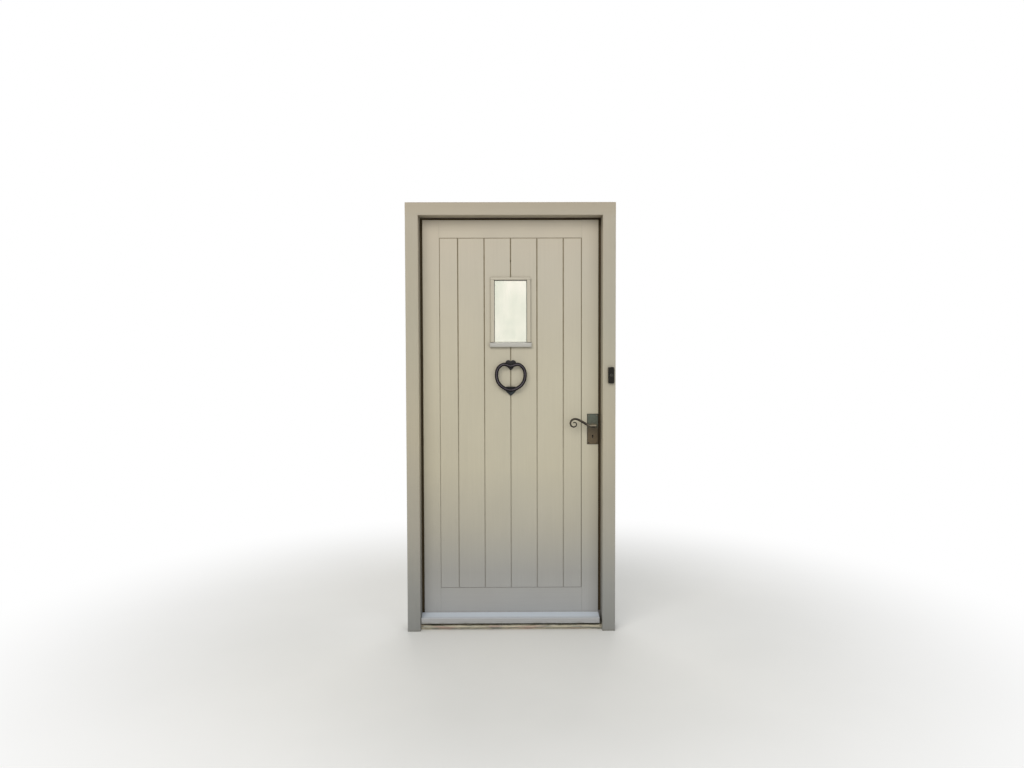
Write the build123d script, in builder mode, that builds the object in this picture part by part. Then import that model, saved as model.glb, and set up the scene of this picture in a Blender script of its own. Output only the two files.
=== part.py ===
from build123d import *
import math
import os

os.makedirs("parts", exist_ok=True)

# Boarded cottage door in its frame, in millimetres. X runs to the right as seen from outside,
# Y runs inward from the middle of the frame's depth, and Z runs up from the foot of the jambs.

# Frame
frame_width = 1015.0
frame_height = 2085.0
frame_depth = 130.0
jamb_face = 62.5
head_face = 62.0
rebate_depth = 45.0
rebate_step = 12.0
arris = 2.5
back_arris = 1.5
joint_clearance = 0.2
tiny = 0.01
jamb_tenon_thickness = 20.0
jamb_tenon_height = 46.0
jamb_tenon_shoulder = 12.0
jamb_tenon_front = 26.0

# Frame fixings: four holes in each jamb, for screws into the wall
fixing_radius = 4.25
fixing_setback = 42.0
fixing_lowest = 230.0
fixing_top_drop = 265.0
fixing_count = 4

# Threshold and water bar
threshold_height = 28.0
threshold_setback = 30.0
nosing_setback = 12.0
nosing_underside = 15.0
nosing_top = 26.0
nosing_radius = 3.0
nosing_end_gap = 13.0
threshold_tenon_length = 12.0
threshold_tenon_height = 14.0
threshold_tenon_shoulder = 15.0
water_bar_thickness = 4.0
water_bar_height = 14.0
water_bar_upstand = 3.0
water_bar_setback = 22.0
water_bar_gap = 2.0

# Leaf
leaf_thickness = 58.0
edge_gap = 3.0
seal_gap = 5.0
shadow_gap_side = 13.0
shadow_gap_top = 11.0
leaf_arris = 1.5
stile_face = 82.0
top_rail_face = 87.0
panel_bottom = 194.0
bottom_gap = 3.0
tenon_length = 52.0
tenon_thickness = 14.0
rail_tenon_width = 64.0
lock_rail_drop = 116.0
lock_rail_height = 150.0
lock_rail_tenon_length = 26.0
lock_rail_shoulder = 15.0
bottom_shoulder = 18.0
haunch_width = 44.0

# Boarding on both faces
board_thickness = 18.0
board_share = 0.37
boards_per_side = 3
v_joint = 2.4
end_joint = 2.3
tongue_thickness = 6.0
tongue_length = 6.0
tongue_clearance = 0.4
ledge_width = 12.0

# Window in the leaf
glass_half_width = 80.0
glass_drop = 205.5
glass_height = 305.5
pane_thickness = 4.0
pane_gap = 8.0
glass_cover = 8.0
glass_edge_clearance = 2.0
spacer_inset = 1.0
gasket_thickness = 1.0
gasket_lip = 2.0
surround_side = 18.0
surround_head = 12.0
surround_sill = 24.0
surround_proud = 9.0
sill_proud = 15.0
sill_horn = 4.0
sill_slope = 5.0
surround_round = 2.5
liner_thickness = 16.0
bead_flat = 2.0

# Weatherboard
weatherboard_projection = 60.0
weatherboard_top = 70.5
weatherboard_nose = 60.0
weatherboard_bottom = 33.0
weatherboard_round = 4.0
weatherboard_hinge_gap = 2.5
weatherboard_lock_gap = 12.5
drip_radius = 3.5
drip_setback = 13.0

# Weather seal
seal_thickness = 4.7
seal_edge_clearance = 1.5
seal_stem = 3.0
seal_stem_depth = 5.0
seal_stem_inset = 4.0
seal_foot_gap = 5.0

# Butt hinges, hidden on the inside
hinge_height = 100.0
hinge_plate = 2.5
hinge_plate_width = 32.0
knuckle_radius = 6.0
knuckle_count = 5
knuckle_gap = 0.4
pin_radius = 3.0
pin_clearance = 0.05
pin_cap_radius = 4.6
pin_cap_height = 3.0
hinge_lowest = 250.0
hinge_top_drop = 295.0
screw_radius = 2.2
screw_head_radius = 4.2
screw_head_angle = 90.0
screw_length = 26.0
screw_clearance = 0.1
hinge_screw_inset = 19.4
plate_overlap = 1.0

# Mortice lock, with a solid curtain behind the keyhole
backset = 50.0
spindle_height = 1004.0
keyhole_drop = 55.0
case_depth = 82.0
case_height = 146.0
case_thickness = 15.0
case_wall = 1.5
case_clearance = 0.5
case_top_above_spindle = 62.0
forend_width = 24.0
forend_height = 200.0
forend_thickness = 3.0
latch_width = 12.0
latch_height = 20.0
latch_throw = 12.5
latch_bevel = 8.0
latch_tip = 2.0
latch_head = 16.0
latch_tail = 6.0
latch_tail_gap = 1.0
bolt_tail_half = 4.0
latch_hook_drop = 8.0
latch_hook_gap = 0.5
deadbolt_width = 12.0
deadbolt_height = 30.0
deadbolt_length = 42.0
deadbolt_drop = 8.0
deadbolt_notch = (8.0, 10.0)
deadbolt_round = 1.0
bolt_clearance = 0.3
follower_radius = 9.0
follower_arm = 26.0
follower_arm_width = 7.0
follower_opening = 6.0
spindle_size = 8.0
spindle_clearance = 0.05
strike_thickness = 2.0
strike_height = 150.0
strike_window_margin = 2.0
strike_lip_radius = 4.5
strike_lip_height = 27.0
end_screw_inset = 9.0
keep_depth = 23.0
key_slot_width = 4.0
key_slot_height = 13.0
key_head_radius = 3.6
key_head_rise = 3.0
key_bore_margin = 1.5
key_reach = 5.5
curtain_half_width = 6.5
curtain_half_height = 12.0
drill_past = 1.0

# Handles
backplate_width = 55.5
backplate_drop = 95.0
backplate_height = 151.0
backplate_thickness = 3.0
backplate_corner = 1.2
backplate_bevel = 1.0
plate_screw_inset = 8.0
plate_screw_radius = 1.8
plate_screw_head = 3.4
plate_screw_length = 13.0
hub_radius = 8.5
hub_collar_radius = 9.2
hub_collar_height = 5.0
hub_clearance = 0.3
hub_seat = 1.5
spindle_cover = 9.0
spindle_end_gap = 0.5
lever_standoff = 44.0
lever_arm = ((8.5, 0.4), (-6.0, -0.8), (-23.0, 2.4), (-47.5, 15.2), (-67.6, 26.6))
lever_radii = (8.4, 6.9, 5.6, 4.8, 3.6, 2.8)
scroll_centre = (-94.5, 9.0)
scroll_radius = 24.5
scroll_shrink = 0.76
scroll_start = 75.0
scroll_end = 485.0
scroll_step = 41.0

# Heart knocker, with heights counted from its pivot
knocker_drop = 112.0
knocker_pivot_standoff = 15.0
knocker_bolt_rise = 4.0
ring_standoff = 25.0
ring_depth = 14.0
ring_band = 17.0
ring_edge = 4.0
ring_crest = 3.0
ring_crest_drop = 1.0
ring_shoulder = 0.6
ring_back_round = 3.2
ring_half = (
    (14.0, -1.0), (35.0, 3.3), (53.5, -6.0), (66.5, -25.5), (70.0, -52.0), (61.5, -85.0), (34.0, -112.0),
)
ring_cleft = -5.0
ring_bottom = -123.0
collar_half_width = 23.0
collar_top = -106.0
collar_tip = -134.5
collar_depth = 13.0
collar_inset = 1.0
collar_flare = 2.0
collar_flare_drop = 11.0
plate_half_width = 26.5
plate_thickness = 4.0
plate_lobe_radius = 13.6
plate_lobe_rise = 10.0
plate_cleft_share = 0.62
plate_belly = 19.0
plate_tip = -26.5
strike_wing = -127.0
strike_top = -106.0
strike_tip = -153.0
strike_shoulder = 3.0
strike_belly = 14.0
strike_stud_radius = 8.0
strike_stud_drop = 119.0
knocker_running_gap = 0.3
plate_round = 1.2
knocker_pin_radius = 2.5
knocker_pin_length = 22.0
ear_radius = 5.0
ear_thickness = 5.0
lug_half_width = 5.0
lug_gap = 0.4
bolt_radius = 3.0
bolt_nut_radius = 8.0
bolt_nut_height = 4.0
bolt_nut_side = 1.6

# Bell push on the lock jamb
bell_edge_gap = 8.5
bell_height = 1252.0
bell_width = 28.0
bell_length = 78.0
bell_depth = 14.0
bell_corner = 4.0
bell_wall = 2.0
bell_edge_round = 2.0
button_radius = 7.5
button_clearance = 0.4
button_proud = 1.5
button_flange = 1.5
button_travel = 2.0
button_rest_gap = 0.3
button_edge_round = 1.0

# Levels and faces that follow from the sizes above
frame_half = frame_width / 2
frame_front = -frame_depth / 2
frame_back = frame_depth / 2
lip_half = frame_half - jamb_face
lip_top = frame_height - head_face
rebate_half = lip_half + rebate_step
rebate_top = lip_top + rebate_step
lip_back = frame_back - rebate_depth
fixing_spacing = (frame_height - fixing_top_drop - fixing_lowest) / (fixing_count - 1)
threshold_front = frame_front + threshold_setback
nosing_front = frame_front + nosing_setback

leaf_back = frame_back
leaf_front = leaf_back - leaf_thickness
step_back = lip_back + seal_gap
leaf_half = rebate_half - edge_gap
leaf_top = rebate_top - edge_gap
leaf_bottom = threshold_height + bottom_gap
front_half = lip_half - shadow_gap_side
front_top = lip_top - shadow_gap_top

panel_half = front_half - stile_face
panel_top = front_top - top_rail_face
board_pitch = panel_half * board_share
outer_board_back = leaf_front + board_thickness
inner_board_back = leaf_back - board_thickness
core_centre = (outer_board_back + inner_board_back) / 2
core_half = panel_half - ledge_width
water_bar_front = leaf_front + water_bar_setback
water_bar_top = threshold_height + water_bar_upstand
bar_rebate_back = water_bar_front + water_bar_thickness + water_bar_gap
bar_rebate_top = water_bar_top + bottom_gap

glass_top = panel_top - glass_drop
glass_bottom = glass_top - glass_height
opening_half = glass_half_width + glass_cover + glass_edge_clearance
opening_bottom = glass_bottom - glass_cover - glass_edge_clearance
opening_top = glass_top + glass_cover + glass_edge_clearance
unit_thickness = 2 * pane_thickness + pane_gap
unit_front = core_centre - unit_thickness / 2
unit_back = unit_front + unit_thickness

hinge_highest = frame_height - hinge_top_drop
hinge_heights = (hinge_lowest, (hinge_lowest + hinge_highest) / 2, hinge_highest)
hinge_axis_x = -(rebate_half + leaf_half) / 2
hinge_axis_y = frame_back + knuckle_radius
plate_front = frame_back - hinge_plate_width
hinge_screw_line = (plate_front + frame_back) / 2

spindle_x = leaf_half - backset
keyhole_height = spindle_height - keyhole_drop
key_head_height = keyhole_height + key_head_rise
lock_rail_bottom = spindle_height - lock_rail_drop
backplate_bottom = spindle_height - backplate_drop
lock_y = (step_back + leaf_back) / 2
case_top = spindle_height + case_top_above_spindle
case_bottom = case_top - case_height
case_back = leaf_half - case_depth
deadbolt_centre = keyhole_height - deadbolt_drop
keep_bottom = deadbolt_centre - deadbolt_height / 2 - strike_window_margin
keep_top = deadbolt_centre + deadbolt_height / 2 + strike_window_margin
keep_front = lock_y - latch_width / 2 - strike_window_margin
keep_back = lock_y + latch_width / 2 + strike_window_margin
keep_end = rebate_half + strike_thickness + keep_depth
forend_centre = (case_top + case_bottom) / 2
strike_centre = (spindle_height + deadbolt_centre) / 2
plate_centre_x = front_half - backplate_width / 2
plate_centre_z = backplate_bottom + backplate_height / 2
hub_rise = lever_standoff - backplate_thickness - hub_clearance - hub_collar_height

knocker_pivot_height = glass_bottom - knocker_drop
knocker_pivot_y = leaf_front - knocker_pivot_standoff
ring_centre_y = leaf_front - ring_standoff
knocker_bolt_top = knocker_pivot_height + plate_lobe_rise + knocker_bolt_rise
strike_stud_height = knocker_pivot_height - strike_stud_drop
collar_front = ring_centre_y + collar_inset
collar_back = collar_front + collar_depth


def bar(x, y, z, mode=Mode.ADD):
    """Rectangular block between three pairs of limits."""
    with Locations((x[0], y[0], z[0])):
        Box(x[1] - x[0], y[1] - y[0], z[1] - z[0], align=(Align.MIN,) * 3, mode=mode)


def write(shape, name):
    """Name a shape and write it."""
    shape.label = name
    export_step(shape, f"parts/{name}.step")


def finish(piece, name):
    """Write the piece that has just been built."""
    write(piece.part, name)


def facing(x, y, z, direction):
    """Place on a surface whose outward normal is the given direction."""
    return Plane(origin=(x, y, z), z_dir=direction).location


def spread(count, spacing, centre=0.0):
    """Evenly spaced values about a centre."""
    return [centre + (i - (count - 1) / 2) * spacing for i in range(count)]


hinge_screw_heights = [
    height + offset
    for height in hinge_heights for offset in spread(2, hinge_height - 2 * hinge_screw_inset)
]
strike_screw_heights = spread(2, strike_height - 2 * end_screw_inset, strike_centre)
forend_screw_heights = spread(2, forend_height - 2 * end_screw_inset, forend_centre)
fixing_heights = [fixing_lowest + i * fixing_spacing for i in range(fixing_count)]


# Frame: two rebated jambs tenoned into a full-width head

def make_jamb(side, name):
    """Rebated jamb. Side is -1 for the hinge jamb and 1 for the lock jamb."""
    with BuildPart() as jamb:
        with BuildSketch() as section:
            with BuildLine():
                Polyline(
                    (side * lip_half, frame_front), (side * frame_half, frame_front),
                    (side * frame_half, frame_back), (side * rebate_half, frame_back),
                    (side * rebate_half, lip_back), (side * lip_half, lip_back),
                    close=True,
                )
            make_face()
            fillet(section.vertices().group_by(Axis.Y)[0], radius=arris)
            fillet(section.vertices().group_by(Axis.Y)[-1], radius=back_arris)
        extrude(amount=lip_top)
        with BuildSketch(Plane.XY.offset(lip_top)):
            with BuildLine():
                Polyline(
                    (side * rebate_half, lip_back), (side * frame_half, lip_back),
                    (side * frame_half, frame_back), (side * rebate_half, frame_back),
                    close=True,
                )
            make_face()
        extrude(amount=rebate_step)
        tenon_x = sorted(
            (side * (lip_half + jamb_tenon_shoulder), side * (frame_half - jamb_tenon_shoulder))
        )
        tenon_y = frame_front + jamb_tenon_front
        bar(
            tenon_x, (tenon_y, tenon_y + jamb_tenon_thickness),
            (lip_top, lip_top + jamb_tenon_height),
        )
        stem_x = sorted(
            (side * (lip_half + seal_stem_inset), side * (lip_half + seal_stem_inset + seal_stem))
        )
        stem_start = stem_foot(side)
        bar(stem_x, (lip_back - seal_stem_depth, lip_back), (stem_start, lip_top), Mode.SUBTRACT)
        threshold_mortise(side)
        for height in fixing_heights:
            fixing_y = frame_front + fixing_setback
            with Locations(facing(side * frame_half, fixing_y, height, (side, 0, 0))):
                Hole(fixing_radius, depth=jamb_face + drill_past)
        if side < 0:
            for height in hinge_heights:
                bar(
                    (-rebate_half - hinge_plate, -rebate_half),
                    (plate_front, frame_back),
                    (height - hinge_height / 2, height + hinge_height / 2),
                    Mode.SUBTRACT,
                )
            for height in hinge_screw_heights:
                with Locations(facing(-rebate_half, hinge_screw_line, height, (1, 0, 0))):
                    Hole(screw_radius + screw_clearance, depth=screw_length + drill_past)
        else:
            strike_recess()
    write(glued_up_around_keep(jamb) if side > 0 else jamb.part, name)


def stem_foot(side):
    """Level at which the seal starts: on the lock side it clears the weatherboard's sweep."""
    return weatherboard_top + seal_foot_gap if side > 0 else threshold_height


def threshold_mortise(side):
    """Housing in the foot of a jamb for the end of the threshold."""
    reach = rebate_half + threshold_tenon_length + joint_clearance
    bar(
        sorted((side * lip_half, side * reach)),
        (
            threshold_front + threshold_tenon_shoulder - joint_clearance,
            lip_back + joint_clearance,
        ),
        (0, threshold_tenon_height + joint_clearance),
        Mode.SUBTRACT,
    )


def strike_windows(x_limits):
    """Openings for the two bolts through the strike plate, or their keeps in the jamb."""
    for centre, height in ((spindle_height, latch_height), (deadbolt_centre, deadbolt_height)):
        half_y = latch_width / 2 + strike_window_margin
        half_z = height / 2 + strike_window_margin
        bar(
            x_limits, (lock_y - half_y, lock_y + half_y), (centre - half_z, centre + half_z),
            Mode.SUBTRACT,
        )


def strike_recess():
    """Recess for the strike plate and the two keeps behind it, in the lock jamb."""
    strike_face = rebate_half + strike_thickness
    bar(
        (rebate_half, strike_face), (lock_y - forend_width / 2, frame_back),
        (strike_centre - strike_height / 2, strike_centre + strike_height / 2), Mode.SUBTRACT,
    )
    strike_windows((rebate_half, strike_face + keep_depth))
    for height in strike_screw_heights:
        with Locations(facing(rebate_half, lock_y, height, (-1, 0, 0))):
            Hole(screw_radius + screw_clearance, depth=screw_length + drill_past)


def glued_up_around_keep(jamb):
    """Lock jamb as glued up from blanks: one below the deadbolt's keep, one above, three round it."""
    full_x = (lip_half, frame_half)
    blanks = (
        (full_x, (frame_front, frame_back), (0, keep_bottom)),
        (full_x, (frame_front, frame_back), (keep_top, frame_height)),
        (full_x, (frame_front, keep_front), (keep_bottom, keep_top)),
        (full_x, (keep_back, frame_back), (keep_bottom, keep_top)),
        ((keep_end, frame_half), (keep_front, keep_back), (keep_bottom, keep_top)),
    )
    lengths = []
    for limits in blanks:
        with BuildPart() as length:
            add(jamb.part)
            bar(*limits, mode=Mode.INTERSECT)
        lengths += length.part.solids()
    return Compound(lengths)


make_jamb(-1, "hinge_jamb")
make_jamb(1, "lock_jamb")

with BuildPart() as head:
    with BuildSketch(Plane.YZ.offset(-frame_half)) as section:
        with BuildLine():
            Polyline(
                (frame_front, lip_top), (frame_front, frame_height), (frame_back, frame_height),
                (frame_back, rebate_top), (lip_back, rebate_top), (lip_back, lip_top),
                close=True,
            )
        make_face()
        fillet(section.vertices().group_by(Axis.Y)[-1].group_by(Axis.X)[0], radius=arris)
    extrude(amount=frame_width)
    with BuildSketch(Plane.YZ.offset(-lip_half)):
        with BuildLine():
            Line((frame_front, lip_top), (frame_front + arris, lip_top))
            RadiusArc((frame_front + arris, lip_top), (frame_front, lip_top + arris), arris)
            Line((frame_front, lip_top + arris), (frame_front, lip_top))
        make_face()
    extrude(amount=2 * lip_half, mode=Mode.SUBTRACT)
    for side in (-1, 1):
        mortise_x = sorted(
            (
                side * (lip_half + jamb_tenon_shoulder - joint_clearance),
                side * (frame_half - jamb_tenon_shoulder + joint_clearance),
            )
        )
        bar(
            mortise_x,
            (
                frame_front + jamb_tenon_front - joint_clearance,
                frame_front + jamb_tenon_front + jamb_tenon_thickness + joint_clearance,
            ),
            (lip_top, lip_top + jamb_tenon_height + joint_clearance),
            Mode.SUBTRACT,
        )
    stem_end = lip_half + seal_stem_inset + seal_stem
    bar(
        (-stem_end, stem_end),
        (lip_back - seal_stem_depth, lip_back),
        (lip_top + seal_stem_inset, lip_top + seal_stem_inset + seal_stem),
        Mode.SUBTRACT,
    )
    for side in (-1, 1):
        bar(
            sorted((side * (stem_end - seal_stem), side * stem_end)),
            (lip_back - seal_stem_depth, lip_back),
            (lip_top, lip_top + seal_stem_inset + seal_stem),
            Mode.SUBTRACT,
        )
finish(head, "head")

with BuildPart() as threshold:
    with BuildSketch(Plane.YZ.offset(-lip_half)):
        with BuildLine():
            Polyline(
                (threshold_front, 0), (lip_back, 0), (lip_back, threshold_height),
                (threshold_front, nosing_top), close=True,
            )
        make_face()
    extrude(amount=2 * lip_half)
    with BuildSketch(Plane.YZ.offset(-(lip_half - nosing_end_gap))):
        with BuildLine():
            FilletPolyline(
                (threshold_front, nosing_underside), (threshold_front, nosing_top),
                (nosing_front, nosing_top), (nosing_front, nosing_underside),
                radius=(0, 0, nosing_radius, nosing_radius), close=True,
            )
        make_face()
    extrude(amount=2 * (lip_half - nosing_end_gap))
    bar((-rebate_half, rebate_half), (lip_back, frame_back), (0, threshold_height))
    tenon_end = rebate_half + threshold_tenon_length
    bar(
        (-tenon_end, tenon_end), (threshold_front + threshold_tenon_shoulder, lip_back),
        (0, threshold_tenon_height),
    )
    bar(
        (-rebate_half, rebate_half),
        (water_bar_front, water_bar_front + water_bar_thickness),
        (water_bar_top - water_bar_height, threshold_height),
        Mode.SUBTRACT,
    )
finish(threshold, "threshold")

with BuildPart() as water_bar:
    with BuildSketch(Plane.YZ.offset(-rebate_half)) as section:
        with BuildLine():
            Polyline(
                (water_bar_front, water_bar_top - water_bar_height),
                (water_bar_front + water_bar_thickness, water_bar_top - water_bar_height),
                (water_bar_front + water_bar_thickness, water_bar_top),
                (water_bar_front, water_bar_top), close=True,
            )
        make_face()
        fillet(section.vertices().group_by(Axis.Y)[-1], radius=water_bar_thickness / 4)
    extrude(amount=2 * rebate_half)
finish(water_bar, "water_bar")

seal_inner = front_half + seal_edge_clearance
with BuildPart() as weather_seal:
    seal_y = (lip_back, lip_back + seal_thickness)
    bar((-rebate_half, rebate_half), seal_y, (threshold_height, rebate_top))
    bar(
        (-seal_inner, seal_inner), seal_y,
        (threshold_height, front_top + seal_edge_clearance), Mode.SUBTRACT,
    )
    bar((seal_inner, rebate_half), seal_y, (threshold_height, stem_foot(1)), Mode.SUBTRACT)
    stem_y = (lip_back - seal_stem_depth, lip_back)
    for side in (-1, 1):
        bar(
            sorted((side * (stem_end - seal_stem), side * stem_end)),
            stem_y, (stem_foot(side), lip_top + seal_stem_inset),
        )
    stem_foot_top = lip_top + seal_stem_inset
    bar((-stem_end, stem_end), stem_y, (stem_foot_top, stem_foot_top + seal_stem))
finish(weather_seal, "weather_seal")


# Leaf frame: stiles with a central ledge that both layers of boards lie against

def stile_section(side):
    """Stepped edge on the outside, ledge for the boards on the inside."""
    Polyline(
        (side * front_half, leaf_front), (side * panel_half, leaf_front),
        (side * panel_half, outer_board_back), (side * core_half, outer_board_back),
        (side * core_half, inner_board_back), (side * panel_half, inner_board_back),
        (side * panel_half, leaf_back), (side * leaf_half, leaf_back),
        (side * leaf_half, step_back), (side * front_half, step_back),
        close=True,
    )


def tenon_limits(z_low, z_high, reach, clearance):
    """Limits in Y and Z of a rail's tenon, with how far it runs from the middle of the leaf."""
    half = tenon_thickness / 2 + clearance
    return (
        core_half + reach + clearance,
        (core_centre - half, core_centre + half),
        (z_low - clearance, z_high + clearance),
    )


rail_tenons = (
    (panel_top + ledge_width, panel_top + rail_tenon_width, tenon_length),
    (
        lock_rail_bottom + lock_rail_shoulder,
        lock_rail_bottom + lock_rail_height - lock_rail_shoulder, lock_rail_tenon_length,
    ),
    (leaf_bottom + bottom_shoulder, leaf_bottom + bottom_shoulder + rail_tenon_width, tenon_length),
    (panel_bottom - ledge_width - haunch_width, panel_bottom - ledge_width, tenon_length),
)


def make_stile(side, name):
    """Full-height stile of the leaf."""
    with BuildPart() as stile:
        with BuildSketch(Plane.XY.offset(leaf_bottom)) as section:
            with BuildLine():
                stile_section(side)
            make_face()
            outer = section.vertices().group_by(Axis.Y)[0]
            fillet(outer, radius=leaf_arris)
        extrude(amount=leaf_top - leaf_bottom)
        bar(
            sorted((side * core_half, side * leaf_half)), (leaf_front, step_back),
            (front_top, leaf_top), Mode.SUBTRACT,
        )
        bar(
            sorted((side * core_half, side * leaf_half)), (leaf_front, bar_rebate_back),
            (leaf_bottom, bar_rebate_top), Mode.SUBTRACT,
        )
        for z_low, z_high, reach in rail_tenons:
            end, y_limits, z_limits = tenon_limits(z_low, z_high, reach, joint_clearance)
            bar(sorted((side * core_half, side * end)), y_limits, z_limits, Mode.SUBTRACT)
        if side < 0:
            for height in hinge_heights:
                bar(
                    (-leaf_half, -leaf_half + hinge_plate), (plate_front, leaf_back),
                    (height - hinge_height / 2, height + hinge_height / 2), Mode.SUBTRACT,
                )
            for height in hinge_screw_heights:
                with Locations(facing(-leaf_half, hinge_screw_line, height, (-1, 0, 0))):
                    Hole(screw_radius + screw_clearance, depth=screw_length + drill_past)
        else:
            lock_mortise()
    finish(stile, name)


def lock_mortise():
    """Space in the lock stile for the case, its forend, the spindle, the key and the plates' screws."""
    half = case_thickness / 2 + case_clearance
    bar(
        (case_back - case_clearance, leaf_half), (lock_y - half, lock_y + half),
        (case_bottom - case_clearance, case_top + case_clearance), Mode.SUBTRACT,
    )
    bar(
        (leaf_half - forend_thickness, leaf_half),
        (lock_y - forend_width / 2, lock_y + forend_width / 2),
        (forend_centre - forend_height / 2, forend_centre + forend_height / 2), Mode.SUBTRACT,
    )
    for height in forend_screw_heights:
        with Locations(facing(leaf_half, lock_y, height, (1, 0, 0))):
            Hole(screw_radius + screw_clearance, depth=screw_length + drill_past)
    with Locations(facing(spindle_x, leaf_front, spindle_height, (0, -1, 0))):
        Hole(hub_radius + hub_clearance)
    with Locations(facing(spindle_x, leaf_front, keyhole_height, (0, -1, 0))):
        Hole(key_head_radius + key_bore_margin)
    for face, direction in ((leaf_front, -1), (leaf_back, 1)):
        for x, z in plate_screws:
            with Locations(facing(x, face, z, (0, direction, 0))):
                Hole(plate_screw_radius + screw_clearance, depth=plate_screw_length + drill_past)


plate_screws = [
    (x, z)
    for x in spread(2, backplate_width - 2 * plate_screw_inset, plate_centre_x)
    for z in spread(2, backplate_height - 2 * plate_screw_inset, plate_centre_z)
]

make_stile(-1, "hinge_stile")
make_stile(1, "lock_stile")


def add_tenon(tenon):
    """Tenon at both ends of a rail."""
    z_low, z_high, reach = tenon
    end, y_limits, z_limits = tenon_limits(z_low, z_high, reach, 0.0)
    bar((-end, end), y_limits, z_limits)


with BuildPart() as top_rail:
    with BuildSketch(Plane.YZ.offset(-panel_half)) as section:
        with BuildLine():
            Polyline(
                (leaf_front, panel_top), (leaf_front, front_top), (step_back, front_top),
                (step_back, leaf_top), (leaf_back, leaf_top), (leaf_back, panel_top),
                (inner_board_back, panel_top), (outer_board_back, panel_top), close=True,
            )
        make_face()
        fillet(section.vertices().group_by(Axis.X)[0], radius=leaf_arris)
    extrude(amount=2 * panel_half)
    bar(
        (-core_half, core_half), (outer_board_back, inner_board_back),
        (panel_top - ledge_width, panel_top),
    )
    for side in (-1, 1):
        bar(
            sorted((side * core_half, side * panel_half)), (outer_board_back, inner_board_back),
            (panel_top, leaf_top), Mode.SUBTRACT,
        )
    add_tenon(rail_tenons[0])
finish(top_rail, "top_rail")

def knocker_holes():
    """Holes for the knocker's two through bolts, the lower one near the lock rail in a low leaf."""
    for height in (knocker_bolt_top, strike_stud_height):
        with Locations(facing(0, leaf_front, height, (0, -1, 0))):
            Hole(bolt_radius + screw_clearance)


with BuildPart() as lock_rail:
    bar(
        (-core_half, core_half), (outer_board_back, inner_board_back),
        (lock_rail_bottom, lock_rail_bottom + lock_rail_height),
    )
    add_tenon(rail_tenons[1])
    knocker_holes()
finish(lock_rail, "lock_rail")

with BuildPart() as bottom_rail:
    with BuildSketch(Plane.YZ.offset(-panel_half)) as section:
        with BuildLine():
            Polyline(
                (leaf_front, bar_rebate_top), (leaf_front, panel_bottom),
                (leaf_back, panel_bottom), (leaf_back, leaf_bottom),
                (bar_rebate_back, leaf_bottom), (bar_rebate_back, bar_rebate_top), close=True,
            )
        make_face()
        fillet(
            section.vertices().group_by(Axis.Y)[-1].group_by(Axis.X)[0], radius=leaf_arris
        )
    extrude(amount=2 * panel_half)
    for side in (-1, 1):
        bar(
            sorted((side * core_half, side * panel_half)), (outer_board_back, inner_board_back),
            (leaf_bottom, panel_bottom), Mode.SUBTRACT,
        )
    bar(
        (-core_half, core_half), (outer_board_back, inner_board_back),
        (panel_bottom, panel_bottom + ledge_width),
    )
    add_tenon(rail_tenons[2])
    add_tenon(rail_tenons[3])
finish(bottom_rail, "bottom_rail")


# Boards: tongued and grooved, with a V where they meet

def board_edges(index):
    """Joint lines on the left and right of a board, counted from the left."""
    place = index - boards_per_side
    left = -panel_half if index == 0 else place * board_pitch
    last = index == 2 * boards_per_side - 1
    right = panel_half if last else (place + 1) * board_pitch
    return left, right


def on_plane(y):
    """Test for an edge whose middle lies at one Y."""
    return lambda edge: abs(edge.center().Y - y) < tiny


def make_board(index, face, back, name):
    """One board. Face is the Y of its visible side, and back the Y of its hidden side."""
    left, right = board_edges(index)
    inward = 1 if back > face else -1
    middle = (face + back) / 2
    half = tongue_thickness / 2
    with BuildPart() as board:
        with BuildSketch(Plane.XY.offset(panel_bottom)) as section:
            with BuildLine():
                Polyline(
                    (left + v_joint, face), (right - v_joint, face), (right, face + inward * v_joint),
                    (right, back), (left, back), (left, face + inward * v_joint), close=True,
                )
            make_face()
        extrude(amount=panel_top - panel_bottom)
        chamfer(board.edges().filter_by(Axis.X).filter_by(on_plane(face)), length=end_joint)
        if index > 0:
            wide = half + tongue_clearance / 2
            bar(
                (left, left + tongue_length + tongue_clearance), (middle - wide, middle + wide),
                (panel_bottom, panel_top), Mode.SUBTRACT,
            )
        if index < 2 * boards_per_side - 1:
            bar(
                (right, right + tongue_length), (middle - half, middle + half),
                (panel_bottom, panel_top),
            )
        if abs(left) < opening_half or abs(right) < opening_half:
            window_hole(sorted((face, back)))
            knocker_holes()
    finish(board, name)


def window_hole(y_limits):
    """Opening for the glazed unit through one layer of the leaf."""
    bar((-opening_half, opening_half), y_limits, (opening_bottom, opening_top), Mode.SUBTRACT)


for number in range(2 * boards_per_side):
    make_board(number, leaf_front, outer_board_back, f"outer_board_{number + 1}")
    make_board(number, leaf_back, inner_board_back, f"inner_board_{number + 1}")

with BuildPart() as upper_core:
    bar(
        (-core_half, core_half), (outer_board_back, inner_board_back),
        (lock_rail_bottom + lock_rail_height, panel_top - ledge_width),
    )
    bar(
        (-opening_half - liner_thickness, opening_half + liner_thickness),
        (outer_board_back, inner_board_back),
        (opening_bottom - liner_thickness, opening_top + liner_thickness), Mode.SUBTRACT,
    )
    knocker_holes()
finish(upper_core, "upper_core")

with BuildPart() as lower_core:
    bar(
        (-core_half, core_half), (outer_board_back, inner_board_back),
        (panel_bottom + ledge_width, lock_rail_bottom),
    )
finish(lower_core, "lower_core")


# Window: sealed double-glazed unit in a timber liner, with a planted surround

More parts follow.
